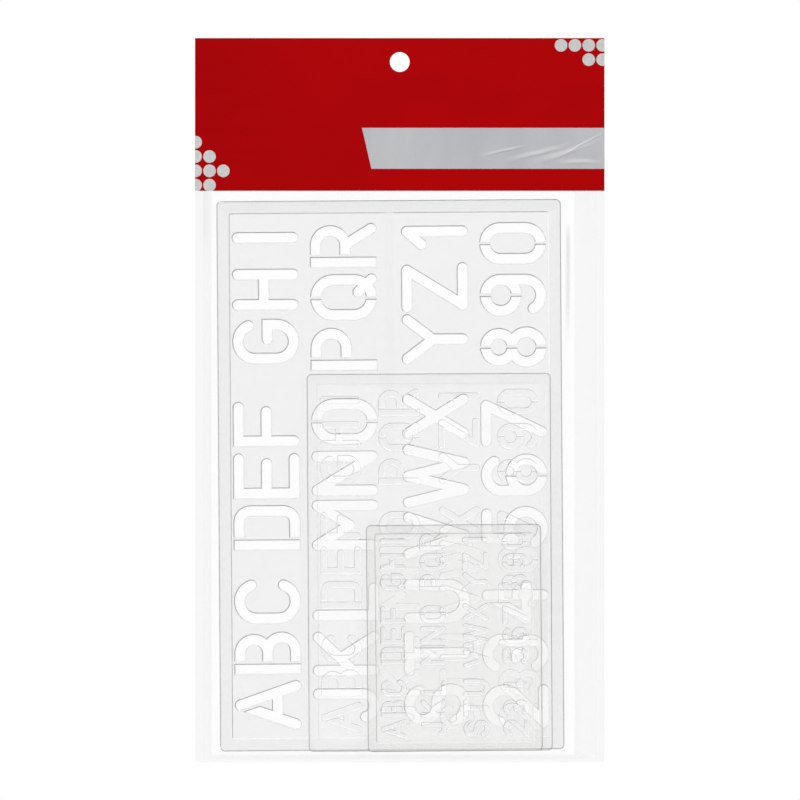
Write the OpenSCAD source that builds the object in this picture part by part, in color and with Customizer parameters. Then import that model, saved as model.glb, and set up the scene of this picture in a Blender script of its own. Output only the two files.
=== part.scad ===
// Set of three clear lettering stencils in a clear hang pack with a printed header.
// The pack hangs by its hole: X to the viewer's right, Z up, and the front faces -Y.
// The origin is the centre of the hang hole, in the middle of the header's thickness.

/* [Pack] */
// Width of the pack
pack_w = 130; // [128:0.5:150]
// Height of the pack from header top to bottom seam
pack_h = 230; // [228:0.5:260]
// Thickness of one layer of film
film_t = 0.1; // [0.08:0.01:0.12]
// Width of the heat seal along each side
side_weld_w = 2.5; // [1.5:0.1:3]
// Height of the heat seal along the bottom
bottom_weld_h = 1.2; // [1:0.1:1.5]

/* [Header] */
// Height of the printed header
header_h = 48.5; // [44:0.5:50]
// Thickness of the header's printed layer
print_t = 0.15; // [0.14:0.01:0.16]
// Thickness of the header's backing
backing_t = 0.35; // [0.3:0.05:0.4]
// Diameter of the hang hole
hang_hole_d = 6.3; // [6:0.1:8]
// Distance from the header's top edge to the hole's centre
hang_hole_drop = 7.6; // [6:0.1:9]
// Height of the silver ribbon
ribbon_h = 13; // [10:0.5:14]
// Length of the silver ribbon along its top edge
ribbon_l = 77; // [60:0.5:90]
// Diameter of one ornament dot
dot_d = 4; // [3:0.1:4.2]
// Distance between neighbouring ornament dots
dot_pitch = 4.4; // [4.3:0.1:5]

/* [Closure] */
// Height of the closing lip behind the header
lip_h = 22; // [16:0.5:26]
// Height of the adhesive tape on the lip
tape_h = 8; // [5:0.5:12]
// Distance from the front film to the back film, inside
pocket_depth = 4.75; // [4.7:0.05:5.5]

/* [Large stencil] */
// Width of the large stencil
large_w = 109.5; // [109:0.5:110]
// Height of the large stencil
large_h = 175; // [172:0.5:175]
// Height of the large letters
large_cap = 20.7; // [20:0.1:21]
// Width of the large letters' slots
large_slot = 3; // [2.4:0.1:3.1]
// Thickness of the large stencil at its rim
large_t = 1.1; // [1:0.05:1.1]

/* [Medium stencil] */
// Width of the medium stencil
medium_w = 77.5; // [77:0.5:78]
// Height of the medium stencil
medium_h = 120; // [118:0.5:122]
// Height of the medium letters
medium_cap = 12.5; // [12:0.1:12.8]
// Width of the medium letters' slots
medium_slot = 1.7; // [1.5:0.1:1.8]
// Thickness of the medium stencil at its rim
medium_t = 1; // [0.9:0.05:1]

/* [Small stencil] */
// Width of the small stencil
small_w = 55.5; // [55:0.5:56]
// Height of the small stencil
small_h = 72; // [71:0.5:74]
// Height of the small letters
small_cap = 7.7; // [7:0.1:7.8]
// Width of the small letters' slots
small_slot = 1.05; // [0.9:0.05:1.1]
// Thickness of the small stencil at its rim
small_t = 0.9; // [0.8:0.05:0.9]

/* [Hidden] */
$fn = 48;

// Levels along Z
header_top = hang_hole_drop;
header_bottom = header_top - header_h;
pack_bottom = header_top - pack_h;
pocket_floor = pack_bottom + bottom_weld_h;
stencil_floor = pocket_floor + 2.1;
cross_weld_h = 3;

// Levels along Y, from the front of the header backwards
header_t = print_t + backing_t;
header_y = -header_t / 2;
film_y = header_y + print_t;
back_y = film_y + film_t + pocket_depth;
seam_y = (film_y + back_y) / 2 - film_t / 2;
gap = 0.3;
small_back_y = header_t / 2 + gap + small_t;
medium_back_y = small_back_y + gap + medium_t;
large_back_y = medium_back_y + gap + large_t;

// Each stencil's lower left corner along X, and how far it leans in the pack
large_x = -57.1;
large_lean = 0.4;
medium_x = -28.9;
medium_lean = 0.33;
small_x = -10.1;
small_lean = 0.5;

clear_film = [0.95, 0.96, 0.97, 0.25];
clear_plastic = [0.9, 0.91, 0.92, 0.45];
print_red = [0.68, 0.02, 0.05];

// The alphabet is drawn on centre lines in a box one unit high.
// A glyph is [name, width, strokes, bridges] and, where it has to make room for a wide neighbour, a shift.
// A bridge is a strip of plastic left across a slot, so that no island drops out.
slot_unit = 0.157;
bridge_unit = 0.066;
stem_gap = (slot_unit + bridge_unit) / 2;
tip_gap = 0.02;

function rounded(x0, y0, x1, y1) = ["rounded", [x0, y0], [x1, y1]];
function squared(x0, y0, x1, y1) = ["squared", [x0, y0], [x1, y1]];
function plain(x0, y0, x1, y1) = ["plain", [x0, y0], [x1, y1]];
function arc(x, y, r, from, to) = ["arc", [x, y], r, from, to];
function tip(x, y) = ["tip", [x, y]];
function tip_on(x, y, r, angle) = tip(x + r * cos(angle), y + r * sin(angle));
function corner(x, y) = ["corner", [x, y]];
function bridge(x0, y0, x1, y1) = [[x0, y0], [x1, y1]];
function stem_bridge() = bridge(stem_gap, -0.2, stem_gap, 1.2);
function racetrack(w) = [
    arc(w / 2, 1 - w / 2, w / 2, 0, 180), arc(w / 2, w / 2, w / 2, 180, 360),
    plain(0, w / 2, 0, 1 - w / 2), plain(w, w / 2, w, 1 - w / 2)
];
function open_end(w, lift) = [
    arc(w / 2, 1 - w / 2, w / 2, lift, 180), tip_on(w / 2, 1 - w / 2, w / 2, lift),
    plain(0, w / 2, 0, 1 - w / 2)
];

GLYPHS = [
    ["A", 0.69,
        [rounded(0, 0, 0.345, 1), rounded(0.69, 0, 0.345, 1), plain(0.115, 0.33, 0.575, 0.33)],
        [bridge(0.192, 1.106, 0.404, 0.492)]],
    ["B", 0.57,
        [squared(0, 0, 0, 1), plain(0, 1, 0.28, 1), arc(0.28, 0.75, 0.25, -90, 90),
            plain(0, 0.5, 0.32, 0.5), arc(0.32, 0.25, 0.25, -90, 90), plain(0, 0, 0.32, 0)],
        [stem_bridge()]],
    ["C", 0.61,
        concat(open_end(0.61, 18), [arc(0.305, 0.305, 0.305, 180, 342), tip_on(0.305, 0.305, 0.305, 342)]),
        []],
    ["D", 0.61,
        [squared(0, 0, 0, 1), plain(0, 1, 0.41, 1), arc(0.41, 0.8, 0.2, 0, 90),
            plain(0.61, 0.2, 0.61, 0.8), arc(0.41, 0.2, 0.2, 270, 360), plain(0, 0, 0.41, 0)],
        [stem_bridge()]],
    ["E", 0.62,
        [squared(0, 0, 0, 1), rounded(0, 1, 0.62, 1), rounded(0, 0.5, 0.53, 0.5), rounded(0, 0, 0.62, 0)],
        []],
    ["F", 0.61,
        [rounded(0, 0, 0, 1), corner(0, 1), rounded(0, 1, 0.61, 1), rounded(0, 0.5, 0.53, 0.5)],
        []],
    ["G", 0.61,
        concat(open_end(0.61, 22), [arc(0.305, 0.305, 0.305, 180, 360), plain(0.61, 0.305, 0.61, 0.47),
            corner(0.61, 0.47), rounded(0.61, 0.47, 0.35, 0.47)]),
        []],
    ["H", 0.545,
        [rounded(0, 0, 0, 1), rounded(0.545, 0, 0.545, 1), plain(0, 0.53, 0.545, 0.53)],
        []],
    ["I", 0, [rounded(0, 0, 0, 1)], []],
    ["J", 0.42,
        [rounded(0.42, 0.21, 0.42, 1), arc(0.21, 0.21, 0.21, -165, 0), tip_on(0.21, 0.21, 0.21, -165)],
        []],
    ["K", 0.6,
        [rounded(0, 0, 0, 1), rounded(0, 0.38, 0.6, 1), rounded(0.22, 0.6, 0.6, 0)],
        []],
    ["L", 0.48, [rounded(0, 0, 0, 1), corner(0, 0), rounded(0, 0, 0.48, 0)], []],
    ["M", 0.71,
        [rounded(0, 0, 0, 1), rounded(0.71, 0, 0.71, 1), rounded(0, 1, 0.355, 0.42), rounded(0.71, 1, 0.355, 0.42)],
        []],
    ["N", 0.61, [rounded(0, 0, 0, 1), rounded(0.61, 0, 0.61, 1), rounded(0, 1, 0.61, 0)], []],
    ["O", 0.63, racetrack(0.63), [bridge(0.315, -0.2, 0.315, 1.2)]],
    ["P", 0.57,
        [squared(0, 0, 0, 1), plain(0, 1, 0.3, 1), arc(0.3, 0.73, 0.27, -90, 90), plain(0, 0.46, 0.3, 0.46)],
        [stem_bridge()]],
    ["Q", 0.63,
        concat(racetrack(0.63), [rounded(0.41, 0.24, 0.64, 0)]),
        [bridge(0.3, -0.2, 0.3, 1.2)]],
    ["R", 0.6,
        [squared(0, 0, 0, 1), plain(0, 1, 0.3, 1), arc(0.3, 0.735, 0.265, -90, 90),
            plain(0, 0.47, 0.3, 0.47), rounded(0.31, 0.47, 0.6, 0)],
        [stem_bridge()]],
    ["S", 0.57,
        [arc(0.26, 0.76, 0.24, 90, 270), plain(0.26, 1, 0.31, 1), arc(0.31, 0.76, 0.24, 15, 90),
            tip_on(0.31, 0.76, 0.24, 15), plain(0.26, 0.52, 0.31, 0.52), arc(0.31, 0.26, 0.26, -90, 90),
            plain(0.26, 0, 0.31, 0), arc(0.26, 0.26, 0.26, -165, -90), tip_on(0.26, 0.26, 0.26, -165)],
        []],
    ["T", 0.61, [rounded(0, 1, 0.61, 1), rounded(0.305, 0, 0.305, 1)], []],
    ["U", 0.6,
        [rounded(0, 0.3, 0, 1), rounded(0.6, 0.3, 0.6, 1), arc(0.3, 0.3, 0.3, 180, 360)],
        []],
    ["V", 0.66, [rounded(0, 1, 0.33, 0), rounded(0.66, 1, 0.33, 0)], [], -0.14],
    ["W", 0.95,
        [rounded(0, 1, 0.235, 0), rounded(0.235, 0, 0.475, 1), rounded(0.475, 1, 0.715, 0),
            rounded(0.715, 0, 0.95, 1)],
        []],
    ["X", 0.61, [rounded(0, 0, 0.61, 1), rounded(0, 1, 0.61, 0)], [], 0.14],
    ["Y", 0.7, [rounded(0, 1, 0.35, 0.54), rounded(0.7, 1, 0.35, 0.54), rounded(0.35, 0, 0.35, 0.54)], []],
    ["Z", 0.7, [rounded(0, 1, 0.66, 1), rounded(0.66, 1, 0.04, 0), rounded(0.04, 0, 0.7, 0)], []],
    ["1", 0.25, [rounded(0.25, 0, 0.25, 1), rounded(0.25, 1, 0.02, 0.74)], [], -0.05],
    ["2", 0.58,
        [arc(0.29, 0.71, 0.29, -38, 165), tip_on(0.29, 0.71, 0.29, 165), rounded(0.519, 0.531, 0, 0),
            rounded(0, 0, 0.58, 0)],
        []],
    ["3", 0.54,
        [arc(0.28, 0.74, 0.26, -95, 150), tip_on(0.28, 0.74, 0.26, 150), rounded(0.2, 0.49, 0.27, 0.49),
            arc(0.28, 0.25, 0.25, -150, 95), tip_on(0.28, 0.25, 0.25, -150)],
        []],
    ["4", 0.6,
        [rounded(0.43, 0, 0.43, 1), rounded(0.43, 1, 0, 0.3), rounded(0, 0.3, 0.6, 0.3)],
        [bridge(0.43 - stem_gap, 0.45, 0.43 - stem_gap, 1.2)]],
    ["5", 0.54,
        [rounded(0.07, 1, 0.5, 1), rounded(0.07, 1, 0.04, 0.51), arc(0.24, 0.3, 0.3, -145, 134),
            tip_on(0.24, 0.3, 0.3, -145)],
        []],
    ["6", 0.56,
        concat(open_end(0.56, 30), [arc(0.28, 0.28, 0.28, 0, 360)]),
        [bridge(0.28, -0.2, 0.28, 0.75)]],
    ["7", 0.64, [rounded(0, 1, 0.64, 1), rounded(0.64, 1, 0.16, 0)], []],
    ["8", 0.53,
        [arc(0.265, 0.76, 0.24, 0, 360), arc(0.265, 0.265, 0.265, 0, 360)],
        [bridge(0.265, -0.2, 0.265, 1.2)]],
    ["9", 0.56,
        [arc(0.28, 0.72, 0.28, 0, 360), plain(0.56, 0.28, 0.56, 0.72), arc(0.28, 0.28, 0.28, -150, 0),
            tip_on(0.28, 0.28, 0.28, -150)],
        [bridge(0.28, 0.25, 0.28, 1.2)]],
    ["0", 0.555, racetrack(0.555), [bridge(0.2775, -0.2, 0.2775, 1.2)]]
];

// The four columns read upwards, from the left, in groups of three
COLUMNS = ["ABCDEFGHI", "JKLMNOPQR", "STUVWXYZ1", "234567890"];

function glyph(name) = GLYPHS[search([name], GLYPHS)[0]];

// One straight or round length of slot
module stroke(s, unit, w) {
    kind = s[0];
    start = s[1] * unit;
    if (kind == "arc")
        translate(start) ring_part(s[2] * unit, w, s[3], s[4]);
    else if (kind == "tip")
        translate(start) circle(w / 2 - tip_gap);
    else if (kind == "corner")
        translate(start) square(w, center = true);
    else
        straight(start, s[2] * unit, w, kind);
}

module ring_part(r, w, from, to) {
    difference() {
        intersection() {
            circle(r + w / 2);
            if (to - from < 360) sector(2 * r + w, from, to);
        }
        circle(r - w / 2);
    }
}

module sector(r, from, to) {
    steps = ceil((to - from) / 60);
    polygon(concat([[0, 0]], [for (k = [0:steps]) let (a = from + (to - from) * k / steps) r * [cos(a), sin(a)]]));
}

module straight(start, end, w, kind) {
    run = end - start;
    extra = kind == "squared" ? w / 2 : 0;
    translate(start) rotate(atan2(run.y, run.x)) {
        translate([-extra, -w / 2]) square([norm(run) + 2 * extra, w]);
        if (kind == "rounded") {
            circle(w / 2 - tip_gap);
            translate([norm(run), 0]) circle(w / 2 - tip_gap);
        }
    }
}

// One whole character, centred on its width, with its bridges left out
module character(name, unit, w, bridge_w) {
    g = glyph(name);
    translate([-g[1] * unit / 2, 0]) difference() {
        union() for (s = g[2]) stroke(s, unit, w);
        for (b = g[3]) straight(b[0] * unit, b[1] * unit, bridge_w, "plain");
    }
}

module rounded_field(w, h, r) {
    translate([r, 0]) square([w - 2 * r, h]);
    translate([0, r]) square([w, h - 2 * r]);
    for (x = [r, w - r], y = [r, h - r]) translate([x, y]) circle(r);
}

// A stencil lying on its back: a raised rim round a thinner field with four columns of letters
// Every column gives the heights of its three groups' middles, as shares of the stencil's height
module stencil(w, h, t, cap, slot, rim, recess, column_gap, middle_gap, pitch, groups) {
    unit = cap - slot;
    side = (w - 4 * cap - 2 * column_gap - middle_gap) / 2;
    bridge_w = max(0.6, bridge_unit * unit);
    linear_extrude(t - recess) difference() {
        rounded_field(w, h, 1.5);
        for (c = [0:3], k = [0:8]) {
            shift = glyph(COLUMNS[c][k])[4];
            baseline = side + (c + 1) * cap + c * column_gap + (c > 1 ? middle_gap - column_gap : 0) - slot / 2;
            height = groups[c][floor(k / 3)] * h + (k % 3 - 1) * pitch + (is_undef(shift) ? 0 : shift * unit);
            translate([baseline, height]) rotate(90) character(COLUMNS[c][k], unit, slot, bridge_w);
        }
    }
    linear_extrude(t) difference() {
        rounded_field(w, h, 1.5);
        translate([rim, rim]) rounded_field(w - 2 * rim, h - 2 * rim, 0.6);
    }
}

// Stands a stencil up in its place in the pack, front towards -Y
module placed(x, back_y, lean) {
    translate([x, back_y, stencil_floor]) rotate([0, -lean, 0]) rotate([90, 0, 0]) children();
}

module stencil_large() {
    rib_w = 2.9;
    rib_t = 0.15;
    rim = 4;
    recess = 0.3;
    groups = [[0.178, 0.5, 0.839], [0.176, 0.504, 0.824], [0.176, 0.498, 0.841], [0.173, 0.499, 0.826]];
    color(clear_plastic) placed(large_x, large_back_y, large_lean) {
        stencil(large_w, large_h, large_t, large_cap, large_slot, rim, recess, 4.2, 8.3, 16.5, groups);
        translate([(large_w - rib_w) / 2, rim, large_t - recess]) cube([rib_w, large_h - 2 * rim, rib_t]);
    }
}

module stencil_medium() {
    groups = [[0.182, 0.506, 0.84], [0.182, 0.506, 0.832], [0.182, 0.506, 0.841], [0.182, 0.506, 0.832]];
    color(clear_plastic) placed(medium_x, medium_back_y, medium_lean)
        stencil(medium_w, medium_h, medium_t, medium_cap, medium_slot, 3.2, 0.25, 6.2, 6.6, 11, groups);
}

module stencil_small() {
    groups = [[0.19, 0.514, 0.84], [0.19, 0.514, 0.836], [0.19, 0.51, 0.836], [0.19, 0.51, 0.834]];
    color(clear_plastic) placed(small_x, small_back_y, small_lean)
        stencil(small_w, small_h, small_t, small_cap, small_slot, 2.8, 0.2, 4.9, 5.9, 6.5, groups);
}

// The header: a printed film on a stiffer backing, both punched through
module header_layer(y, t, bottom) {
    difference() {
        translate([-pack_w / 2, y, bottom]) cube([pack_w, t, header_top - bottom]);
        rotate([90, 0, 0]) cylinder(d = hang_hole_d, h = 4, center = true);
    }
}

module header_front() {
    color(print_red) header_layer(header_y, print_t, header_bottom);
}

// The backing is thinner along its lower edge, where it laps over the bag's front film
module header_backing() {
    color("white") {
        header_layer(film_y, backing_t, header_bottom + cross_weld_h);
        translate([-pack_w / 2, film_y + film_t, header_bottom])
            cube([pack_w, backing_t - film_t, cross_weld_h]);
    }
}

// The front film's upper margin, sealed between the two layers of the header
module cross_weld() {
    color(clear_film) translate([-pack_w / 2, film_y, header_bottom]) cube([pack_w, film_t, cross_weld_h]);
}

// Ink stands on the header's front as a thin raised coat
ink_t = 0.05;
module ink() {
    translate([0, header_y, 0]) rotate([90, 0, 0]) linear_extrude(ink_t) children();
}

module header_ribbon() {
    ribbon_bottom = header_bottom + 7;
    slant = 3;
    right = pack_w / 2;
    color("silver") ink() polygon([
        [right, ribbon_bottom], [right, ribbon_bottom + ribbon_h],
        [right - ribbon_l, ribbon_bottom + ribbon_h], [right - ribbon_l + slant, ribbon_bottom]
    ]);
}

// Ornament dots in two corners, cut off at the header's edges
row_pitch = dot_pitch + 0.15;
left_rows = [1, 2, 1, 0];
module header_dots() {
    edge = pack_w / 2;
    top_row = header_top - 2.3;
    low_row = header_bottom + 1.8;
    color("lightgrey") ink() intersection() {
        translate([-edge, header_bottom]) square([pack_w, header_h]);
        union() {
            for (k = [0:3]) dot(edge - 0.6 - k * dot_pitch, top_row);
            for (k = [0:1]) dot(edge - 0.6 - k * dot_pitch, top_row - row_pitch);
            for (row = [0:3], k = [0:left_rows[row]]) dot(k * dot_pitch + 0.2 - edge, low_row + row * row_pitch);
        }
    }
}

module dot(x, z) {
    translate([x, z]) circle(dot_d / 2);
}

// Bag film is drawn as a bent sheet: its depth is given on a grid of stations and it is closed all round.
// Between the seams it stands off by the pocket's depth; at the seams it comes to the pack's middle plane.
front_flat = [-61.2, -58.9, 53.4, 56];
back_flat = [-61.2, -58.9, 58.9, 61.2];
floor_rise = 1.9;
function share_x(x, flat) = x > flat[1] - 0.01 && x < flat[2] + 0.01 ? 1 : x > flat[0] - 0.01 && x < flat[3] + 0.01 ? 0.5 : 0;
function share_z(z) = min(1, (z - pocket_floor) / floor_rise);
function rim_y(z) = film_y + (seam_y - film_y) * min(1, (header_bottom - z) / 20);
function film_depths(xs, zs, flat, y, layer) = [for (z = zs) [for (x = xs)
    let (share = share_x(x, flat) * share_z(z)) (rim_y(z) + layer) * (1 - share) + y * share]];

module sheet(xs, zs, ys, t) {
    nx = len(xs);
    nz = len(zs);
    n = nx * nz;
    front = [for (j = [0:nz - 1], i = [0:nx - 1]) [xs[i], ys[j][i], zs[j]]];
    back = [for (p = front) p + [0, t, 0]];
    cells = [for (j = [0:nz - 2], i = [0:nx - 2]) j * nx + i];
    edge = concat(
        [for (i = [0:nx - 1]) i],
        [for (j = [1:nz - 1]) j * nx + nx - 1],
        [for (i = [nx - 2:-1:0]) (nz - 1) * nx + i],
        [for (j = [nz - 2:-1:1]) j * nx]
    );
    m = len(edge);
    polyhedron(concat(front, back), concat(
        [for (c = cells) [c, c + nx + 1, c + 1]], [for (c = cells) [c, c + nx, c + nx + 1]],
        [for (c = cells) [c + 1, c + nx + 1, c] + [n, n, n]], [for (c = cells) [c + nx + 1, c + nx, c] + [n, n, n]],
        [for (k = [0:m - 1]) let (a = edge[k], b = edge[(k + 1) % m]) [a, b, a + n]],
        [for (k = [0:m - 1]) let (a = edge[k], b = edge[(k + 1) % m]) [b, b + n, a + n]]
    ));
}

weld_x = pack_w / 2 - side_weld_w;
film_zs = [pocket_floor, pocket_floor + floor_rise, header_bottom - 20, header_bottom];
function film_xs(flat) = [-weld_x, flat[0], flat[1], flat[2], flat[3], weld_x];

module front_film() {
    xs = film_xs(front_flat);
    color(clear_film) sheet(xs, film_zs, film_depths(xs, film_zs, front_flat, film_y, 0), film_t);
}

module back_film() {
    xs = film_xs(back_flat);
    color(clear_film) sheet(xs, film_zs, film_depths(xs, film_zs, back_flat, back_y, film_t), film_t);
}

module side_welds() {
    zs = [pack_bottom, film_zs[2], header_bottom];
    ys = [for (z = zs) [rim_y(z), rim_y(z)]];
    color(clear_film) for (x = [-pack_w / 2, weld_x]) sheet([x, x + side_weld_w], zs, ys, 2 * film_t);
}

module bottom_weld() {
    color(clear_film) translate([-weld_x, seam_y, pack_bottom]) cube([2 * weld_x, 2 * film_t, bottom_weld_h]);
}

// The back film's free end stands up behind the header and folds back along its lower edge
module closure_lip() {
    half = back_flat[2];
    r = 3;
    color(clear_film) translate([0, back_y + film_t, header_bottom]) rotate([90, 0, 0]) linear_extrude(film_t) {
        translate([-half, 0]) square([2 * half, lip_h - r]);
        translate([r - half, 0]) square([2 * (half - r), lip_h]);
        for (x = [r - half, half - r]) translate([x, lip_h - r]) circle(r);
    }
}

module closure_tape() {
    inset = 3;
    half = back_flat[2] - inset;
    color([0.93, 0.92, 0.86, 0.6]) translate([-half, back_y - film_t, header_bottom + lip_h - inset - tape_h])
        cube([2 * half, film_t, tape_h]);
}

header_front();
header_backing();
header_ribbon();
header_dots();
cross_weld();
front_film();
back_film();
side_welds();
bottom_weld();
closure_lip();
closure_tape();
stencil_large();
stencil_medium();
stencil_small();
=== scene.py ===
import math

import bmesh
import bpy
import numpy
from mathutils import Matrix, Vector, geometry, noise


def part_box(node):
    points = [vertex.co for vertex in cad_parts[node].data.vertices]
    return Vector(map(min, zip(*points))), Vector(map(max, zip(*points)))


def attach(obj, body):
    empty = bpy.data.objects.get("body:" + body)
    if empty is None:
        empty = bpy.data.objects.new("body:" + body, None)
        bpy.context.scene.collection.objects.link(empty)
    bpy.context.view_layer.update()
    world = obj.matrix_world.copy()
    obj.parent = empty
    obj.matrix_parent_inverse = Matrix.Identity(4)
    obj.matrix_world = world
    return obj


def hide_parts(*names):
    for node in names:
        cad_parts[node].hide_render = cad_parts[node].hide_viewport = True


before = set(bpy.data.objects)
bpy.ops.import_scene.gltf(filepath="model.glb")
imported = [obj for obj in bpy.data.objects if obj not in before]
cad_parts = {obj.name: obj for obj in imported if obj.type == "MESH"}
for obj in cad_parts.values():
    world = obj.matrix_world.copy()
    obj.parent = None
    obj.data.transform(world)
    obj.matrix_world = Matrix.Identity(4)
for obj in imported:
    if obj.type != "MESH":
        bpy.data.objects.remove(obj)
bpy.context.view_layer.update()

mm = 0.001  # shapes are worked out in millimetres, and looks in metres
upright = Matrix.Rotation(math.radians(90), 4, "X")  # turns a flat shape up into the XZ plane


class Signal:
    # one socket of a material, so that shader maths reads as plain arithmetic
    def __init__(self, look, socket):
        self.look = look
        self.socket = socket

    def __add__(self, other):
        return self.look.math("ADD", self, other)

    def __radd__(self, other):
        return self.look.math("ADD", other, self)

    def __sub__(self, other):
        return self.look.math("SUBTRACT", self, other)

    def __rsub__(self, other):
        return self.look.math("SUBTRACT", other, self)

    def __mul__(self, other):
        return self.look.math("MULTIPLY", self, other)

    def __pow__(self, other):
        return self.look.math("POWER", self, other)

    def __abs__(self):
        return self.look.math("ABSOLUTE", self, 0.0)

    def clamped(self):
        return self.look.math("ADD", self, 0.0, clamp=True)

    def between(self, low, high):
        # an eased step from 0 at low to 1 at high
        return self.look.add("ShaderNodeMapRange", {"interpolation_type": "SMOOTHSTEP"},
                             {"Value": self, "From Min": low, "From Max": high}, "Result")


class Look:
    # one material, built node by node
    def __init__(self, name):
        self.material = bpy.data.materials.new(name)
        self.material.use_nodes = True
        self.tree = self.material.node_tree
        self.tree.nodes.clear()
        self.place = self.add("ShaderNodeTexCoord", {}, {}, "Object")

    def add(self, kind, settings, inputs, output=0):
        node = self.tree.nodes.new(kind)
        for key, value in settings.items():
            setattr(node, key, value)
        for key, value in inputs.items():
            if isinstance(value, Signal):
                self.tree.links.new(value.socket, node.inputs[key])
            else:
                node.inputs[key].default_value = value
        return Signal(self, node.outputs[output])

    def math(self, operation, a, b, clamp=False):
        return self.add("ShaderNodeMath", {"operation": operation, "use_clamp": clamp}, {0: a, 1: b})

    def axes(self):
        node = self.add("ShaderNodeSeparateXYZ", {}, {"Vector": self.place}).socket.node
        return [Signal(self, socket) for socket in node.outputs]

    def noise(self, scale, detail, stretch=(1, 1, 1), roughness=0.5, distortion=0.0):
        stretched = self.add("ShaderNodeMapping", {}, {"Vector": self.place, "Scale": stretch})
        return self.add("ShaderNodeTexNoise", {}, {
            "Vector": stretched, "Scale": scale, "Detail": detail,
            "Roughness": roughness, "Distortion": distortion}, "Fac")

    def blend(self, factor, a, b):
        return self.add("ShaderNodeMix", {"data_type": "RGBA"}, {0: factor, 6: a, 7: b}, 2)

    def stroke(self, x, z, start, end, width):
        # a thin mark from start to end that thins out towards both
        length = math.dist(start, end)
        alongX, alongZ = (end[0] - start[0]) / length, (end[1] - start[1]) / length
        along = (x - start[0]) * alongX + (z - start[1]) * alongZ
        off = abs((z - start[1]) * alongX - (x - start[0]) * alongZ)
        fade = along.between(0, length * 0.45) * (1 - along.between(length * 0.55, length))
        return (1 - off.between(width * 0.2, width)) * fade

    def bump(self, height, distance):
        return self.add("ShaderNodeBump", {}, {"Height": height, "Distance": distance, "Strength": 1.0})

    def principled(self, **inputs):
        named = {key.replace("_", " "): value for key, value in inputs.items()}
        return self.add("ShaderNodeBsdfPrincipled", {}, named)

    def sheer(self, tint):
        # lets light straight through, so that what lies behind stays sharp
        return self.add("ShaderNodeBsdfTransparent", {}, {"Color": tint})

    def mixShader(self, factor, a, b):
        return self.add("ShaderNodeMixShader", {}, {0: factor, 1: a, 2: b})

    def finish(self, shader):
        output = self.tree.nodes.new("ShaderNodeOutputMaterial")
        self.tree.links.new(shader.socket, output.inputs["Surface"])
        return self.material


white = (1, 1, 1, 1)
clear = {  # shared by all clear layers
    "shine": (0.93, 0.93, 0.93, 1), "mirror": 0.035, "glancing": 0.8,
}


def gloss(look):
    # a clear surface mirrors more towards its edges, the same from either face
    facing = look.add("ShaderNodeLayerWeight", {}, {"Blend": 0.5}, "Facing")
    return facing ** 5 * clear["glancing"] + clear["mirror"]


plastic = {
    "flowScale": 30, "scuffScale": 500, "ripple": 0.0004,
    "roughness": 0.06, "flowRoughness": 0.06, "scuffRoughness": 0.2, "unevenHaze": 0.04,
    # glint is a painted highlight along the edges, pale and glowing
    "lineRoughness": 0.3, "paintedGlint": (0.9, 0.9, 0.9, 1), "paintedGlintRoughness": 0.12, "paintedGlintGlow": 0.3,
}
plastics = {  # tint, colour of the painted shade along the edges, milkiness, and a painted glow of the surface
    "clearPlasticLarge": {
        "tint": (0.944, 0.945, 0.946, 1), "paintedEdgeShade": (0.34, 0.34, 0.345, 1), "haze": 0.0, "glow": 0.0},
    "clearPlasticMedium": {
        "tint": (0.99, 0.99, 0.989, 1), "paintedEdgeShade": (0.28, 0.28, 0.285, 1), "haze": 0.10, "glow": 0.09},
    "clearPlasticSmall": {
        "tint": (0.982, 0.982, 0.976, 1), "paintedEdgeShade": (0.2, 0.2, 0.2, 1), "haze": 0.155, "glow": 0.06},
}


def plasticLook(name, tint, paintedEdgeShade, haze, glow):
    # each face's stored tone paints shade on it as a dark line below zero, and a glowing painted highlight
    # above zero
    look = Look(name)
    tone = look.add("ShaderNodeAttribute", {"attribute_name": "paintedShadeAndGlint"}, {}, "Fac")
    flow = look.noise(plastic["flowScale"], 2, (1, 1, 2.2))
    scuff = look.noise(plastic["scuffScale"], 3, (1, 1, 0.3)).between(0.66, 0.8)
    rough = plastic["roughness"] + flow * plastic["flowRoughness"] + scuff * plastic["scuffRoughness"]
    # glow makes the surface glow a little: painted light
    shine = look.principled(Base_Color=clear["shine"], Roughness=rough,
                            Emission_Color=white, Emission_Strength=glow,
                            Normal=look.bump(flow + scuff * 0.02, plastic["ripple"]))
    milky = gloss(look) + haze
    milky = milky + flow.between(0.4, 0.75) * plastic["unevenHaze"] + scuff * plastic["unevenHaze"]
    pane = look.mixShader(milky.clamped(), look.sheer(tint), shine)
    # line is the painted shade along the edges, and glint the painted highlight
    line = look.principled(Base_Color=paintedEdgeShade, Roughness=plastic["lineRoughness"],
                           Specular_IOR_Level=0.2)
    paintedGlint = look.principled(Base_Color=plastic["paintedGlint"], Roughness=plastic["paintedGlintRoughness"],
                            Emission_Color=white, Emission_Strength=plastic["paintedGlintGlow"])
    dark = (0 - tone).clamped()
    return look.finish(look.mixShader(tone.clamped(), look.mixShader(dark, pane, line), paintedGlint))


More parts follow.
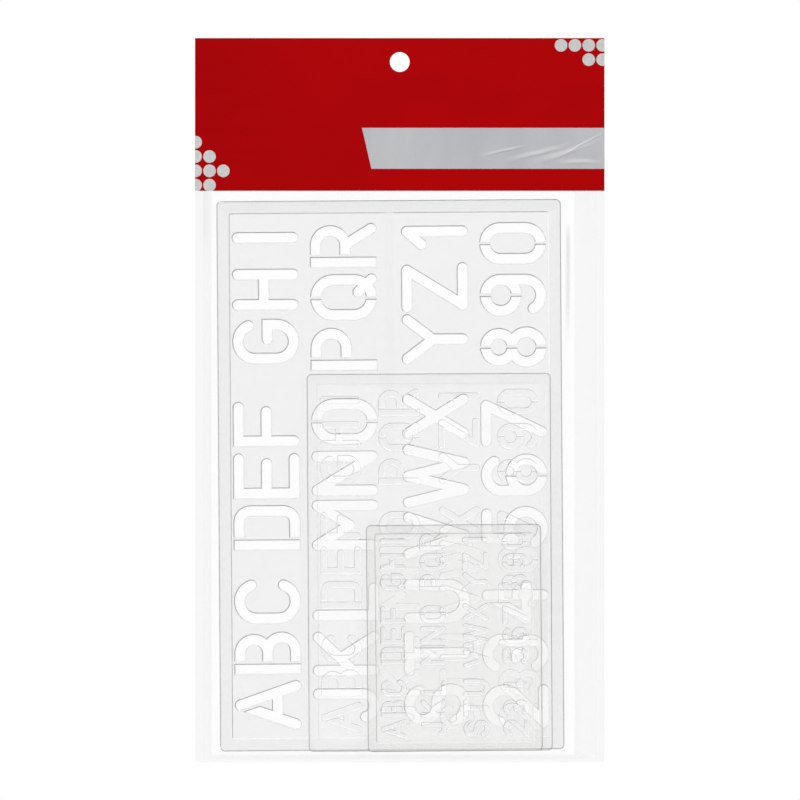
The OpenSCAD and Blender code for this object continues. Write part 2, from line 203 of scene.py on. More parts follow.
film = {  # a place is the two ends of a soft step across X or up Z
    "coverLeft": (-0.0600, -0.0596), "coverRight": (0.0552, 0.0558), "coverFoot": (-0.2204, -0.2198),
    # the fold entries place painted shade on the film: a darker strip along a fold on the right, and a
    # darker patch at the top of the left margin
    "foldX": 0.0536, "foldLean": 0.002, "foldHalf": (0.0002, 0.0010),
    "foldFoot": (-0.094, -0.07), "foldTop": (-0.056, -0.05),
    "sideFoldShade": (-0.0612, -0.0602), "sideFoldFoot": (-0.065, -0.05), "sideFoldShare": 0.35,
    "paintedFoldShade": (0.93, 0.93, 0.93, 1), "foldShare": 0.7,
    "roughness": 0.14, "crumple": 0.0006, "streakHaze": 0.05, "patchHaze": 0.02,
}
films = {  # tint beside what the bag holds, tint over it, and milkiness
    "clearFilm": {"margin": (0.984, 0.984, 0.984, 1), "inside": white, "fog": 0.0},
    "lipFilm": {"margin": (0.97, 0.97, 0.97, 1), "inside": (0.98, 0.98, 0.98, 1), "fog": 0.02},
}


def filmLook(name, margin, inside, fog):
    look = Look(name)
    x, _, z = look.axes()
    streak = look.noise(60, 3, (1, 1, 0.12)).between(0.62, 0.8)
    patch = look.noise(16, 2, (1, 1, 0.5)).between(0.5, 0.75)
    cover = x.between(*film["coverLeft"]) * (1 - x.between(*film["coverRight"]))
    cover = cover * z.between(*film["coverFoot"])
    # painted shade: a darker strip along a fold, and a darker patch at the top of the left margin
    fold = 1 - abs(x - film["foldX"] - z * film["foldLean"]).between(*film["foldHalf"])
    fold = fold * z.between(*film["foldFoot"]) * (1 - z.between(*film["foldTop"]))
    sideFoldShade = (1 - x.between(*film["sideFoldShade"])) * z.between(*film["sideFoldFoot"])
    fold = fold + sideFoldShade * film["sideFoldShare"]
    shine = look.principled(Base_Color=clear["shine"], Roughness=film["roughness"],
                            Normal=look.bump(look.noise(55, 3, (1, 1, 0.4)), film["crumple"]))
    through = look.mixShader(cover, look.sheer(margin), look.sheer(inside))
    through = look.mixShader((fold * film["foldShare"]).clamped(), through, look.sheer(film["paintedFoldShade"]))
    haze = fog + (streak * film["streakHaze"] + patch * film["patchHaze"]) * (1 - cover * 0.7)
    return look.finish(look.mixShader((gloss(look) + haze).clamped(), through, shine))


seam = {
    "rows": 260.0, "wobble": 0.4, "shine": (0.92, 0.92, 0.92, 1), "roughness": 0.22, "depth": 0.00002,
    "tint": (0.965, 0.965, 0.965, 1), "haze": 0.006,
}


def seamLook(name):
    look = Look(name)
    rows = look.add("ShaderNodeTexWave", {"wave_type": "BANDS", "bands_direction": "Z"},
                    {"Vector": look.place, "Scale": seam["rows"], "Distortion": seam["wobble"]}, "Fac")
    knurl = rows.between(0.3, 0.7)
    shine = look.principled(Base_Color=seam["shine"], Roughness=seam["roughness"],
                            Normal=look.bump(knurl, seam["depth"]))
    return look.finish(look.mixShader(gloss(look) + knurl * seam["haze"], look.sheer(seam["tint"]), shine))


red = {
    # bright is the red print, dark the red it is drawn towards in the painted shade on the left and in the
    # random mottle of the folds
    "bright": (0.415, 0.0013, 0.0024, 1), "dark": (0.352, 0.001, 0.002, 1),
    "shadeX": (-0.065, -0.01), "shadeFade": 0.75, "foldShare": 0.5, "shadeShare": 0.6,
    "roughness": 0.35, "fineRoughness": 0.08, "specular": 0.02, "creases": 0.0007,
}


def redLook(name):
    look = Look(name)
    fold = look.noise(30, 4, (0.4, 1, 1.1), 0.55, 0.8)
    fine = look.noise(420, 2)
    # painted shade darkens the left side; the folds add a random darker mottle
    shade = 1 - look.axes()[0].between(*red["shadeX"]) * red["shadeFade"]
    shadeAndMottle = fold.between(0.4, 0.7) * red["foldShare"] + shade * red["shadeShare"]
    height = fold + look.noise(70, 3, (1.0, 1, 0.5)) * 0.35
    return look.finish(look.principled(
        Base_Color=look.blend(shadeAndMottle.clamped(), red["bright"], red["dark"]),
        Roughness=red["roughness"] + fine * red["fineRoughness"],
        Specular_IOR_Level=red["specular"], Normal=look.bump(height, red["creases"])))


silver = {
    "dark": (0.445, 0.45, 0.47, 1), "bright": (0.5, 0.505, 0.52, 1), "creaseHighlight": (0.7, 0.7, 0.71, 1),
    "grain": (0.6, 0.6, 0.62, 1), "creaseHighlightShare": 0.6, "grainShare": 0.15,
    "roughness": 0.4, "foldRoughness": 0.12, "specular": 0.1, "folds": 0.0009, "bend": 0.0022,
    "creases": [  # start and end in X and Z, and width
        ((0.0315, -0.0322), (0.0560, -0.0252), 0.0011), ((0.0400, -0.0325), (0.0660, -0.0240), 0.0013),
        ((0.0500, -0.0300), (0.0665, -0.0215), 0.0007), ((0.0480, -0.0312), (0.0660, -0.0318), 0.0012),
        ((0.0240, -0.0300), (0.0420, -0.0262), 0.0008),
    ],
}


def silverLook(name):
    # foil grey with paler creases running up to the right; the creases are bumped, and their paleness is a
    # painted highlight
    look = Look(name)
    x, _, z = look.axes()
    bent = z + look.noise(70, 2) * silver["bend"] - silver["bend"] / 2
    strokes = [look.stroke(x, bent, *mark) for mark in silver["creases"]]
    creaseHighlight = sum(strokes[1:], strokes[0])
    fold = look.noise(24, 4, (1, 1, 0.4), 0.55, 0.8)
    grain = look.noise(2600, 1)
    tone = look.blend(fold.between(0.4, 0.68), silver["dark"], silver["bright"])
    tone = look.blend((creaseHighlight * silver["creaseHighlightShare"]).clamped(), tone, silver["creaseHighlight"])
    tone = look.blend(grain.between(0.4, 0.7) * silver["grainShare"], tone, silver["grain"])
    return look.finish(look.principled(
        Base_Color=tone, Roughness=silver["roughness"] + fold * silver["foldRoughness"],
        Specular_IOR_Level=silver["specular"], Normal=look.bump(fold + creaseHighlight * 0.3, silver["folds"])))


grey = {
    "dark": (0.53, 0.54, 0.53, 1), "bright": (0.6, 0.61, 0.6, 1), "screen": 1500,
    "roughness": 0.4, "screenRoughness": 0.1, "specular": 0.15,
}


def greyLook(name):
    look = Look(name)
    screen = look.noise(grey["screen"], 1)
    return look.finish(look.principled(
        Base_Color=look.blend(screen.between(0.35, 0.7), grey["dark"], grey["bright"]),
        Roughness=grey["roughness"] + screen * grey["screenRoughness"],
        Specular_IOR_Level=grey["specular"]))


backing = {
    "bright": (0.92, 0.92, 0.91, 1), "dark": (0.86, 0.855, 0.85, 1),
    "roughness": 0.42, "foldRoughness": 0.1, "creases": 0.0011,
}


def backingLook(name):
    look = Look(name)
    fold = look.noise(20, 4, (1, 1, 0.35), 0.55, 0.6)
    return look.finish(look.principled(
        Base_Color=look.blend(fold.between(0.3, 0.75), backing["bright"], backing["dark"]),
        Roughness=backing["roughness"] + fold * backing["foldRoughness"],
        Normal=look.bump(fold, backing["creases"])))


glue = {
    "dark": (0.86, 0.855, 0.81, 1), "bright": (0.92, 0.92, 0.89, 1), "tint": (0.95, 0.95, 0.93, 1),
    "bubbles": 900, "roughness": 0.3, "bubbleRoughness": 0.2, "cover": 0.3, "bubbleCover": 0.15,
}


def tapeLook(name):
    look = Look(name)
    bubbles = look.noise(glue["bubbles"], 2).between(0.55, 0.75)
    sticky = look.principled(Base_Color=look.blend(bubbles, glue["dark"], glue["bright"]),
                             Roughness=glue["roughness"] + bubbles * glue["bubbleRoughness"])
    cover = glue["cover"] + bubbles * glue["bubbleCover"]
    return look.finish(look.mixShader(cover, look.sheer(glue["tint"]), sticky))


print("looks")
largePlastic, mediumPlastic, smallPlastic = (
    plasticLook(name, **values) for name, values in plastics.items())
clearFilm, lipFilm = (filmLook(name, **values) for name, values in films.items())
weldedFilm = seamLook("weldedFilm")
redPrint = redLook("redPrint")
silverInk = silverLook("silverInk")
greyInk = greyLook("greyInk")
whiteFilm = backingLook("whiteFilm")
tapeGlue = tapeLook("tapeGlue")


def smooth(low, high, value):
    # an eased step from 0 at low to 1 at high
    share = min(1.0, max(0.0, (value - low) / (high - low)))
    return share * share * (3 - 2 * share)


def wave(x, z, size, seed):
    # a soft random height between about -1 and 1
    return noise.noise(Vector((x / size, seed, z / size)))


def ripple(x, z, ripples):
    # soft waves, each with its height, its squeeze up the sheet, its size and its seed
    return sum(high * wave(x, z * squeeze, size, seed) for high, squeeze, size, seed in ripples)


def makePiece(name, shape, body, material, smoothShade=True):
    mesh = bpy.data.meshes.new(name)
    shape.to_mesh(mesh)
    shape.free()
    for face in mesh.polygons:
        face.use_smooth = smoothShade
    if smoothShade:
        mesh.set_sharp_from_angle(angle=math.radians(38))
    piece = bpy.data.objects.new(name, mesh)
    bpy.context.scene.collection.objects.link(piece)
    mesh.materials.append(material)
    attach(piece, body)
    return piece


def gridSheet(xLow, xHigh, zLow, zHigh, cell):
    # an upright sheet in the XZ plane
    shape = bmesh.new()
    columns = max(1, round((xHigh - xLow) / cell))
    rows = max(1, round((zHigh - zLow) / cell))
    bmesh.ops.create_grid(shape, x_segments=columns, y_segments=rows, size=0.5)
    place = (Matrix.Translation(((xLow + xHigh) / 2, 0, (zLow + zHigh) / 2))
             @ upright @ Matrix.Diagonal((xHigh - xLow, zHigh - zLow, 1, 1)))
    bmesh.ops.transform(shape, matrix=place, verts=shape.verts)
    return shape


def thicken(shape, depth, thickness):
    # depth gives a sheet's front face along Y; the sheet is then closed behind it
    for vert in shape.verts:
        vert.co.y = depth(vert.co.x, vert.co.z)
    front = list(shape.faces)
    made = bmesh.ops.extrude_face_region(shape, geom=front, use_keep_orig=True)
    moved = [item for item in made["geom"] if isinstance(item, bmesh.types.BMVert)]
    bmesh.ops.translate(shape, vec=(0, thickness, 0), verts=moved)
    bmesh.ops.recalc_face_normals(shape, faces=shape.faces)
    return shape


def toMetres(shape):
    bmesh.ops.scale(shape, vec=(mm, mm, mm), verts=shape.verts)
    return shape


header = {
    "half": 65.0, "top": 7.6, "bottom": -40.9, "cell": 1.6,
    "frontY": -0.25, "printT": 0.15, "backingT": 0.35, "gap": 0.005,
    "hole": 3.15, "holeCells": 1.6, "rimReach": 1.2, "holeCalm": (3, 9),
    "ripples": [(0.22, 0.5, 16, 3.1), (0.07, 1, 5, 8.4)],
    "ribbonTop": -20.9, "ribbonH": 13.0, "ribbonLeft": -12.0, "ribbonSlant": 3.0,
    "inkT": 0.05, "inkGap": 0.002,
}
dots = {  # rows are counted down from the top right corner and up from the bottom left one
    "radius": 2.0, "pitch": 4.4, "rowPitch": 4.55,
    "rightInset": 0.6, "topInset": 2.3, "topRows": (4, 2),
    "leftInset": 0.2, "bottomInset": 1.8, "bottomRows": (2, 3, 2, 1),
}


def headerWave(x, z):
    edge = (smooth(0, 6, header["half"] - abs(x)) * smooth(0, 4, header["top"] - z)
            * smooth(0, 5, z - header["bottom"]))
    return edge * ripple(x, z, header["ripples"]) * smooth(*header["holeCalm"], math.hypot(x, z))


def punchedSheet():
    shape = gridSheet(-header["half"], header["half"], header["bottom"], header["top"], header["cell"])
    window = header["hole"] + header["holeCells"] * header["cell"]
    gone = [f for f in shape.faces
            if abs(f.calc_center_median().x) < window and abs(f.calc_center_median().z) < window]
    bmesh.ops.delete(shape, geom=gone, context="FACES")
    near = window + header["rimReach"]
    rim = [e for e in shape.edges if e.is_boundary
           and all(abs(v.co.x) < near and abs(v.co.z) < near for v in e.verts)]
    ring = bmesh.ops.create_circle(shape, cap_ends=False, radius=header["hole"], segments=len(rim),
                                   matrix=upright)
    ringEdges = dict.fromkeys(e for v in ring["verts"] for e in v.link_edges)  # once each, in order
    made = bmesh.ops.bridge_loops(shape, edges=rim + list(ringEdges))
    bmesh.ops.subdivide_edges(shape, edges=[e for e in made["edges"] if e.is_valid], cuts=1)
    return shape


def headerSheet(shape, y, thickness):
    # a sheet at depth y that follows the header's waves
    return toMetres(thicken(shape, lambda x, z: y + headerWave(x, z), thickness))


def buildHeader():
    front = headerSheet(punchedSheet(), header["frontY"], header["printT"])
    headerPrint = makePiece("headerPrint", front, "pack", redPrint)
    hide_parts("header_front")
    back = headerSheet(punchedSheet(), header["frontY"] + header["printT"] + header["gap"],
                       header["backingT"] - header["gap"])
    headerBack = makePiece("headerBacking", back, "pack", whiteFilm)
    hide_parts("header_backing", "cross_weld")


def inkSheet(shape):
    return headerSheet(shape, header["frontY"] - header["inkT"], header["inkT"] - header["inkGap"])


def buildRibbon():
    left, right, top = header["ribbonLeft"], header["half"], header["ribbonTop"]
    shape = gridSheet(left, right, top - header["ribbonH"], top, header["cell"])
    for vert in shape.verts:
        lift = (top - vert.co.z) / header["ribbonH"]
        reach = (right - vert.co.x) / (right - left)
        vert.co.x += header["ribbonSlant"] * lift * reach
    ribbon = makePiece("silverRibbon", inkSheet(shape), "pack", silverInk)
    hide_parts("header_ribbon")


def buildDots():
    right, top, bottom = header["half"], header["top"], header["bottom"]
    across, up = dots["pitch"], dots["rowPitch"]
    spots = [(right - dots["rightInset"] - k * across, top - dots["topInset"] - row * up)
             for row, count in enumerate(dots["topRows"]) for k in range(count)]
    spots += [(k * across + dots["leftInset"] - right, bottom + dots["bottomInset"] + row * up)
              for row, count in enumerate(dots["bottomRows"]) for k in range(count)]
    shape = bmesh.new()
    for x, z in spots:
        bmesh.ops.create_circle(shape, cap_ends=True, cap_tris=True, radius=dots["radius"], segments=40,
                                matrix=Matrix.Translation((x, 0, z)) @ upright)
    cuts = [((right, 0, 0), (1, 0, 0)), ((-right, 0, 0), (-1, 0, 0)), ((0, 0, bottom), (0, 0, -1))]
    for point, away in cuts:  # the pattern is cut off at the header's edges
        everything = shape.verts[:] + shape.edges[:] + shape.faces[:]
        bmesh.ops.bisect_plane(shape, geom=everything, plane_co=point, plane_no=away, clear_outer=True)
    spotted = makePiece("headerDots", inkSheet(shape), "pack", greyInk)
    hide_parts("header_dots")


print("header")
buildHeader()
buildRibbon()
buildDots()


bag = {
    "half": 65.0, "weld": 2.5, "bottom": -222.4, "floor": -221.2, "mouth": -40.9,
    "filmT": 0.1, "frontY": -0.1, "backY": 4.75, "seamY": 2.275, "seamRun": 20, "rise": 2.2,
    "cell": 1.7, "sideCell": 0.85, "floorCell": 0.6, "frillReach": 3.0,
    "floorFrill": {"high": 0.08, "pitch": 0.5, "swing": 1.0, "size": 12, "seed": 7.7},
}
inner = bag["half"] - bag["weld"]  # where the side welds begin
frontSide = {
    "left": -58.9, "right": 53.4, "flatY": bag["frontY"], "seamLift": 0.0, "bulge": 0.0, "mouthCalm": 5,
    "ripples": [(0.16, 0.6, 21, 1.7), (0.05, 1, 6, 5.2)],
    "frill": {"high": 0.12, "pitch": 0.62, "swing": 1.3, "size": 14, "seed": 2.2},
    "pleats": [  # the two ends in X and Z, the width and the height
        (-57, -44, -30, -41.5, 1.6, 0.22), (-58, -47, -62, -60, 1.2, 0.3),
        (52, -44, 20, -41.5, 1.6, 0.2), (53, -46, 61, -43, 1.4, 0.35),
        (54.5, -60, 56.5, -118, 0.9, 0.28), (56.8, -96, 57.6, -176, 0.8, 0.2),
        (-59.6, -70, -59.2, -150, 0.8, 0.22), (-59.4, -130, -58.8, -214, 0.8, 0.2),
        (53, -219, 62, -212, 1.2, 0.3), (-57, -219.5, -62, -208, 1.2, 0.25),
        (-10, -219.6, 30, -220.4, 0.7, 0.15),
    ],
}
backSide = {
    "left": -58.9, "right": 58.9, "flatY": bag["backY"], "seamLift": bag["filmT"],
    "bulge": 0.05, "mouthCalm": 2.5,
    "ripples": [(0.14, 0.6, 24, 11.3), (0.05, 1, 7, 6.1)],
    "frill": {"high": 0.1, "pitch": 0.55, "swing": 1.1, "size": 12, "seed": 4.2},
    "pleats": [],
}


def seamDepth(z):
    # the welds' front face, which comes forward to the header just below the mouth
    return bag["frontY"] + (bag["seamY"] - bag["frontY"]) * min(1.0, (bag["mouth"] - z) / bag["seamRun"])


def pleat(x, z, x0, z0, x1, z1, width):
    # height of a soft ridge along a line, fading at its two ends
    run = Vector((x1 - x0, z1 - z0))
    at = Vector((x - x0, z - z0))
    along = at.dot(run) / run.length_squared
    if not 0 < along < 1:
        return 0.0
    off = abs(at.x * run.y - at.y * run.x) / run.length
    return math.exp(-(off / width) ** 2) * math.sin(math.pi * along)


def frill(along, x, z, share, high, pitch, swing, size, seed):
    # the small even waves that a weld pulls into film
    return high * share * math.sin(along * pitch + swing * wave(x, z, size, seed))


def filmDepth(x, z, side):
    # a flat tray: out at its own depth in the middle, and in to the seam round the edge
    out = smooth(-inner, side["left"], x) * (1 - smooth(side["right"], inner, x))
    out *= smooth(bag["floor"], bag["floor"] + bag["rise"], z)
    y = (seamDepth(z) + side["seamLift"]) * (1 - out) + side["flatY"] * out
    calm = (smooth(0, 4, inner - abs(x)) * smooth(0, 3, z - bag["floor"])
            * smooth(0, side["mouthCalm"], bag["mouth"] - z))
    y += calm * (ripple(x, z, side["ripples"]) + side["bulge"])
    y -= calm * sum(high * pleat(x, z, *line, width) for *line, width, high in side["pleats"])
    edge = math.exp(-(inner - abs(x)) / bag["frillReach"]) * smooth(0, 6, bag["mouth"] - z)
    return y + frill(z, x, z, edge, **side["frill"])


def sideDepth(x, z):
    edge = math.exp(-(bag["half"] - abs(x)) / bag["frillReach"])
    return seamDepth(z) + frill(z, x, z, edge, **frontSide["frill"])


def floorDepth(x, z):
    return bag["seamY"] + frill(x, x, z, 1.0, **bag["floorFrill"])


def filmSheet(side):
    sheet = gridSheet(-inner, inner, bag["floor"], bag["mouth"], bag["cell"])
    return toMetres(thicken(sheet, lambda x, z: filmDepth(x, z, side), bag["filmT"]))


def buildBag():
    front = makePiece("frontFilm", filmSheet(frontSide), "pack", clearFilm)
    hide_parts("front_film")
    back = makePiece("backFilm", filmSheet(backSide), "pack", clearFilm)
    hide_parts("back_film")

    shape = bmesh.new()
    for low, high in ((-bag["half"], -inner), (inner, bag["half"])):
        strip = gridSheet(low, high, bag["bottom"], bag["mouth"], bag["sideCell"])
        thicken(strip, sideDepth, 2 * bag["filmT"])
        mesh = bpy.data.meshes.new("strip")
        strip.to_mesh(mesh)
        strip.free()
        shape.from_mesh(mesh)
        bpy.data.meshes.remove(mesh)
    sides = makePiece("sideSeams", toMetres(shape), "pack", weldedFilm)
    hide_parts("side_welds")

    strip = gridSheet(-inner, inner, bag["bottom"], bag["floor"], bag["floorCell"])
    thicken(strip, floorDepth, 2 * bag["filmT"])
    floor = makePiece("bottomSeam", toMetres(strip), "pack", weldedFilm)
    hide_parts("bottom_weld")


lip = {
    "half": 58.9, "height": 22.0, "corner": 3.0, "cell": 1.6,
    "waveH": 0.12, "waveSize": 18, "seed": 9.6, "calm": (2, 10),
    "tapeH": 8.0, "tapeInset": 3.0, "tapeGap": 0.004,
}


def lipDepth(x, z):
    high = lip["waveH"] * smooth(*lip["calm"], z - bag["mouth"])
    return bag["backY"] + high * wave(x, z, lip["waveSize"], lip["seed"])


def buildLip():
    top = bag["mouth"] + lip["height"]
    corner = lip["corner"]
    shape = gridSheet(-lip["half"], lip["half"], bag["mouth"], top, lip["cell"])
    for vert in shape.verts:
        for side in (-1, 1):
            # the square corners of the grid are pulled in to round ones
            centre = Vector((side * (lip["half"] - corner), top - corner))
            out = Vector((vert.co.x, vert.co.z)) - centre
            if out.x * side > 0 and out.y > 0 and out.length > corner:
                reach = max(abs(out.x), abs(out.y)) / out.length
                vert.co.x = centre.x + out.x * reach
                vert.co.z = centre.y + out.y * reach
    thicken(shape, lipDepth, bag["filmT"])
    flap = makePiece("closureLip", toMetres(shape), "lip", lipFilm)
    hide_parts("closure_lip")

    reach = lip["half"] - lip["tapeInset"]
    tapeTop = top - lip["tapeInset"]
    shape = gridSheet(-reach, reach, tapeTop - lip["tapeH"], tapeTop, lip["cell"])
    thicken(shape, lambda x, z: lipDepth(x, z) - bag["filmT"], bag["filmT"] - lip["tapeGap"])
    tape = makePiece("closureTape", toMetres(shape), "lip", tapeGlue)
    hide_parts("closure_tape")


print("bag")
buildBag()
buildLip()


stencils = {  # rounding of the edges, and how strong the painted shade lines and painted glints along them are
    "stencil_large": {"front": 0.32, "rear": 0.2, "line": 0.9, "paintedGlint": 0.0, "step": 0.6, "rim": 0.09,
                      "look": largePlastic},
    "stencil_medium": {"front": 0.28, "rear": 0.18, "line": 0.85, "paintedGlint": 1.0, "step": 0.12, "rim": 0.04,
                       "look": mediumPlastic},
    "stencil_small": {"front": 0.23, "rear": 0.14, "line": 0.9, "paintedGlint": 0.8, "step": 0.4, "rim": 0.04,
                      "look": smallPlastic},
}
moulding = {  # shared by the three: a wall is the height of the step beside an edge
    "rearWalls": (0.5, 9), "frontWalls": (0.42, 9), "stepWalls": (0.17, 0.42), "stepRound": 0.14,
    "sharpest": 50, "ribEndOff": 0.1, "ribEndLength": 3.2, "flat": 0.985,
    "rim": 4.2, "ribHalf": 1.45, "outerEdge": 0.9, "rimStep": 5, "ribStep": 2.2,
}


def wallOf(edge):
    # depth in Y of the upright face beside an edge
    walls = [f for f in edge.link_faces if abs(f.normal.y) < 0.5]
    return max((max(v.co.y for v in f.verts) - min(v.co.y for v in f.verts) for f in walls), default=0.0)


def softenEdges(shape, side, offset, walls, middle):
    low, high = walls
    picked = []
    for edge in shape.edges:
        length = edge.calc_length()
        a, b = (vert.co for vert in edge.verts)
        onMiddle = abs(a.x + b.x - 2 * middle) < moulding["ribEndOff"] * mm
        if onMiddle and length < moulding["ribEndLength"] * mm:
            continue  # the ends of the rib stay sharp
        if not edge.is_manifold or edge.calc_face_angle(0) < math.radians(moulding["sharpest"]):
            continue
        if abs(a.y - b.y) > 0.00003 + 0.02 * length:
            continue  # it runs through the plate
        flat = max(edge.link_faces, key=lambda f: abs(f.normal.y))
        if flat.normal.y * side > 0 and low * mm < wallOf(edge) <= high * mm:
            picked.append(edge)
    bmesh.ops.bevel(shape, geom=picked, offset=offset * mm, offset_type="OFFSET", affect="EDGES",
                    segments=3, profile=0.5, material=-1, clamp_overlap=False, loop_slide=False)
    shape.normal_update()


def windings(corners, triangles, points, edges):
    # how often an outline goes round each triangle: 0 outside it, below 0 where it has crossed over
    centres = numpy.array([tuple(c) for c in corners])[numpy.array(triangles)].mean(axis=1)[:, None, :]
    ends = numpy.array([tuple(p) for p in points])[numpy.array(edges)]
    a, b = ends[:, 0], ends[:, 1]
    turns = []
    for start in range(0, len(centres), 500):  # a few at a time, to spare memory
        c = centres[start:start + 500]
        cross = (b[:, 0] - a[:, 0]) * (c[..., 1] - a[:, 1]) - (b[:, 1] - a[:, 1]) * (c[..., 0] - a[:, 0])
        up = (a[:, 1] <= c[..., 1]) & (c[..., 1] < b[:, 1]) & (cross > 0)
        down = (b[:, 1] <= c[..., 1]) & (c[..., 1] < a[:, 1]) & (cross < 0)
        turns += [int(turn) for turn in up.sum(axis=1) - down.sum(axis=1)]
    main = 1 if sum(turns) > 0 else -1
    return [turn * main for turn in turns]


def flatPlace(vert):
    return Vector((vert.co.x, vert.co.z)) / mm


def refillLevel(shape, side, level):
    # one flat again from its rounded outline, where tight corners have crossed over
    flats = dict.fromkeys(f for f in shape.faces if f.normal.y * side > moulding["flat"]
                          and abs(f.calc_center_median().y / mm - level) < 0.01)
    border = [(loop.edge, loop.vert, loop.link_loop_next.vert) for face in flats for loop in face.loops
              if not any(other in flats for other in loop.edge.link_faces if other is not face)]
    verts = list(dict.fromkeys(vert for _, a, b in border for vert in (a, b)))
    index = {vert: i for i, vert in enumerate(verts)}
    points = [flatPlace(vert) for vert in verts]
    edges = [(index[a], index[b]) for _, a, b in border]
    corners, parts, triangles, sources, origins, _ = geometry.delaunay_2d_cdt(
        points, edges, [], 0, 0.00001)
    bmesh.ops.delete(shape, geom=list(flats), context="FACES_ONLY")

    # each outline edge is split where others cross it, so that the rounding stays joined to the flat
    placed = [verts[source[0]] if source else None for source in sources]
    twins = {verts[other]: verts[source[0]] for source in sources for other in source[1:]}
    stops = [set() for _ in border]
    for part, owners in zip(parts, origins):
        for owner in owners:
            stops[owner].update(part)
    for (edge, start, end), passed in zip(border, stops):
        begin = flatPlace(start)
        length = (flatPlace(end) - begin).length
        last = start
        for i in sorted(passed, key=lambda i: (corners[i] - begin).length):
            along = (corners[i] - begin).length / length
            if placed[i] in (start, end) or not 1e-6 < along < 1 - 1e-6:
                continue
            here = flatPlace(last)
            rest = (flatPlace(end) - here).length
            _, last = bmesh.utils.edge_split(edge, last, min(1.0, (corners[i] - here).length / rest))
            if placed[i]:
                twins[last] = placed[i]
            else:
                placed[i] = last
    bmesh.ops.weld_verts(shape, targetmap={twin: twins.get(kept, kept) for twin, kept in twins.items()})

    made = set()
    for triangle, turn in zip(triangles, windings(corners, triangles, points, edges)):
        ring = [placed[i] for i in triangle]
        whole = all(vert and vert.is_valid for vert in ring) and len(set(ring)) == 3
        if turn == 0 or not whole or shape.faces.get(ring):
            continue
        face = shape.faces.new(ring)
        face.normal_update()
        if face.normal.y * side * turn < 0:
            face.normal_flip()
        made.add(face)
    bmesh.ops.delete(shape, geom=[e for e in shape.edges if not e.link_faces], context="EDGES")
    return made


def refillFlats(shape, side):
    levels = {round(f.calc_center_median().y / mm, 2) for f in shape.faces
              if f.normal.y * side > moulding["flat"]}
    made = set()
    for level in sorted(levels):
        made |= refillLevel(shape, side, level)
    shape.normal_update()
    return made


def paintedShadeAndGlint(face, flat, low, high, line, paintedGlint, step, rim):
    # painted shade (below zero) or painted highlight (above zero) for a moulded edge, by the way it faces
    normal = face.normal
    steep = abs(normal.y)
    at = face.calc_center_median()
    top = high.z - at.z
    inward = min(at.x - low.x, high.x - at.x, at.z - low.z, top)
    offRib = abs(at.x - (low.x + high.x) / 2)
    if flat or steep > moulding["flat"]:
        # flat faces: the front rim band is drawn darker, most along the top, and the rib a little
        if normal.y < 0 and inward < moulding["rim"] * mm:
            return -rim * (1.0 if top < moulding["rim"] * mm else 0.5)
        return -rim * 0.2 if normal.y < 0 and offRib < moulding["ribHalf"] * mm else 0.0
    # rounded edges: a painted dark line round the outer edges, and elsewhere painted shade away from the
    # upper left and painted highlight towards it
    level = math.hypot(normal.x, normal.z) or 1.0
    # the side facing up and to the left is drawn lit, the other drawn in shade
    litSide = (normal.z - normal.x) * 0.7071 / level  # 1 where it faces up and to the left
    if inward < moulding["outerEdge"] * mm:
        return -line * 0.8
    ribSide = abs(normal.x) > 0.9 * level and offRib < moulding["ribStep"] * mm
    if inward < moulding["rimStep"] * mm or ribSide:
        return step * (0.6 * smooth(0, 0.6, litSide) - smooth(0.2, -0.5, litSide) - 0.1)
    if steep > 0.85:
        return -line * (0.35 + 0.65 * smooth(0.35, -0.55, litSide))
    if steep > 0.5 or paintedGlint > 0 and steep > 0.1:
        return 0.8 * max(paintedGlint, smooth(0, 0.6, litSide)) - line * smooth(0, 0.6, -litSide) * (1 - paintedGlint)
    return -line * 0.35


def buildStencil(node, front, rear, line, paintedGlint, step, rim, look):
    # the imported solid's own outline, merged, with its sharp moulded edges rounded
    low, high = (Vector(corner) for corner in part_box(node))
    shape = bmesh.new()
    shape.from_mesh(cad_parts[node].data)
    bmesh.ops.remove_doubles(shape, verts=shape.verts, dist=0.000004)
    bmesh.ops.dissolve_limit(shape, angle_limit=math.radians(1), verts=shape.verts, edges=shape.edges)
    middle = (low.x + high.x) / 2
    softenEdges(shape, 1, rear, moulding["rearWalls"], middle)
    softenEdges(shape, -1, front, moulding["frontWalls"], middle)
    softenEdges(shape, -1, moulding["stepRound"], moulding["stepWalls"], middle)
    flats = refillFlats(shape, -1) | refillFlats(shape, 1)
    bmesh.ops.remove_doubles(shape, verts=shape.verts, dist=0.000001)
    bmesh.ops.triangulate(shape, faces=[f for f in shape.faces if len(f.verts) > 4])
    # each face keeps the painted shade or painted highlight it is drawn with
    tone = shape.faces.layers.float.new("paintedShadeAndGlint")
    for face in shape.faces:
        face[tone] = paintedShadeAndGlint(face, face in flats, low, high, line, paintedGlint, step, rim)
    piece = makePiece(node.replace("stencil_", "") + "Stencil", shape, node, look, False)
    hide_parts(node)
    print(node, len(piece.data.polygons))


print("stencils")
for node, settings in stencils.items():
    buildStencil(node, **settings)


studio = {
    "camera": (0.00008, -1.7, -0.1073), "frameSize": 0.254, "sensor": 36, "middle": (0, 0, -0.107),
    "floorZ": -0.262, "floorR": 0.3, "floorFade": (0.4, 0.97), "floorShade": (0.86, 0.86, 0.86, 1),
    "floorRoughness": 0.7, "ambient": 0.46,
    "lamps": [  # name, place, size and power
        ("keyLamp", (-0.55, -0.75, 0.45), 0.35, 5.8),
        ("fillLamp", (0.7, -0.8, 0.1), 0.5, 2.5),
        ("backLamp", (0.3, 0.9, 0.5), 0.5, 4.0),
    ],
}


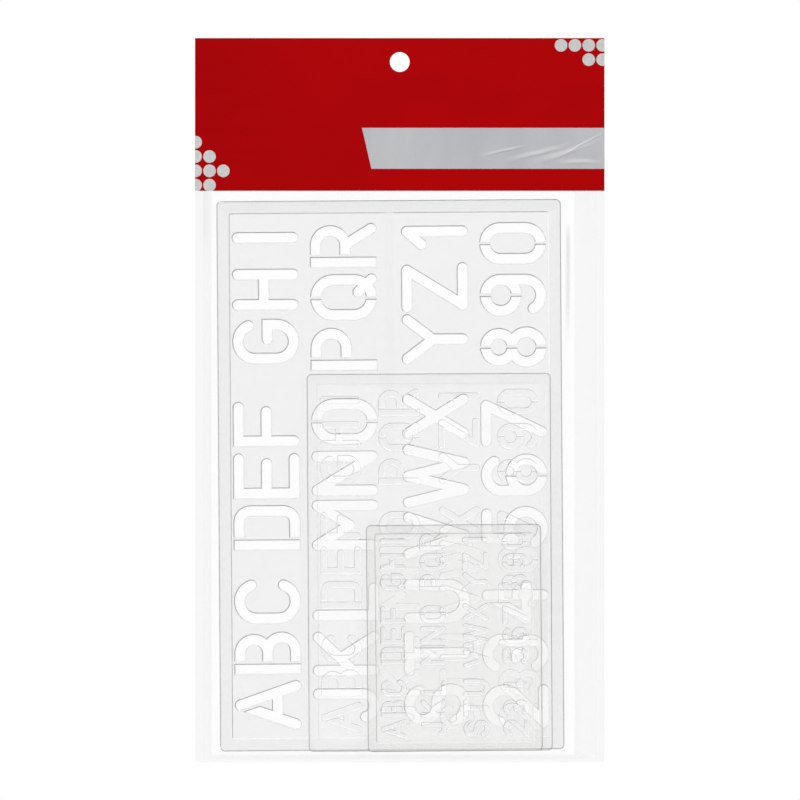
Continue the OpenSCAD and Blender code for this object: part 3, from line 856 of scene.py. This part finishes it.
def paleGlow(tree, kind):
    # plain white where it is seen or mirrored, and the dimmer ambient light elsewhere
    path = tree.nodes.new("ShaderNodeLightPath")
    seen = path.outputs["Is Camera Ray"]
    for name in ("Is Glossy Ray", "Is Transmission Ray"):
        either = tree.nodes.new("ShaderNodeMath")
        either.operation = "MAXIMUM"
        tree.links.new(seen, either.inputs[0])
        tree.links.new(path.outputs[name], either.inputs[1])
        seen = either.outputs[0]
    mix = tree.nodes.new("ShaderNodeMixShader")
    tree.links.new(seen, mix.inputs[0])
    for slot, strength in ((1, studio["ambient"]), (2, 1.0)):
        glow = tree.nodes.new(kind)
        glow.inputs["Color"].default_value = white
        glow.inputs["Strength"].default_value = strength
        tree.links.new(glow.outputs[0], mix.inputs[slot])
    return mix.outputs[0]


def buildWorld(scene):
    world = bpy.data.worlds.new("paleStudio")
    scene.world = world
    world.use_nodes = True
    tree = world.node_tree
    tree.nodes.clear()
    out = tree.nodes.new("ShaderNodeOutputWorld")
    tree.links.new(paleGlow(tree, "ShaderNodeBackground"), out.inputs["Surface"])


def buildLamps(scene):
    aim = Vector(studio["middle"])
    for name, place, size, power in studio["lamps"]:
        lamp = bpy.data.lights.new(name, "AREA")
        lamp.size = size
        lamp.energy = power
        holder = bpy.data.objects.new(name, lamp)
        holder.location = place
        holder.rotation_euler = (aim - Vector(place)).to_track_quat("-Z", "Y").to_euler()
        scene.collection.objects.link(holder)


def buildFloor(scene):
    shape = bmesh.new()
    bmesh.ops.create_circle(shape, cap_ends=True, radius=studio["floorR"], segments=96,
                            matrix=Matrix.Translation((0, 0, studio["floorZ"])))
    mesh = bpy.data.meshes.new("studioFloor")
    shape.to_mesh(mesh)
    shape.free()
    floor = bpy.data.objects.new("studioFloor", mesh)
    scene.collection.objects.link(floor)
    look = Look("paleFloor")
    x, y, _ = look.axes()
    away = (x * x + y * y) ** 0.5
    ground = look.principled(Base_Color=studio["floorShade"], Roughness=studio["floorRoughness"])
    fade = away.between(*(studio["floorR"] * share for share in studio["floorFade"]))
    glow = Signal(look, paleGlow(look.tree, "ShaderNodeEmission"))
    mesh.materials.append(look.finish(look.mixShader(fade, ground, glow)))


def buildCamera(scene):
    # square on, with the frame's width at the pack the same as the photo's
    view = bpy.data.cameras.new("photoCamera")
    camera = bpy.data.objects.new("photoCamera", view)
    camera.location = studio["camera"]
    camera.rotation_euler = (math.radians(90), 0, 0)
    view.sensor_width = studio["sensor"]
    view.lens = studio["sensor"] * -studio["camera"][1] / studio["frameSize"]
    view.clip_end = 20
    scene.collection.objects.link(camera)
    scene.camera = camera


print("studio")
bpy.context.scene.view_settings.view_transform = "Standard"
bpy.context.scene.cycles.transparent_max_bounces = 32  # the stencils and films overlap in many layers
for build in (buildWorld, buildLamps, buildFloor, buildCamera):
    build(bpy.context.scene)
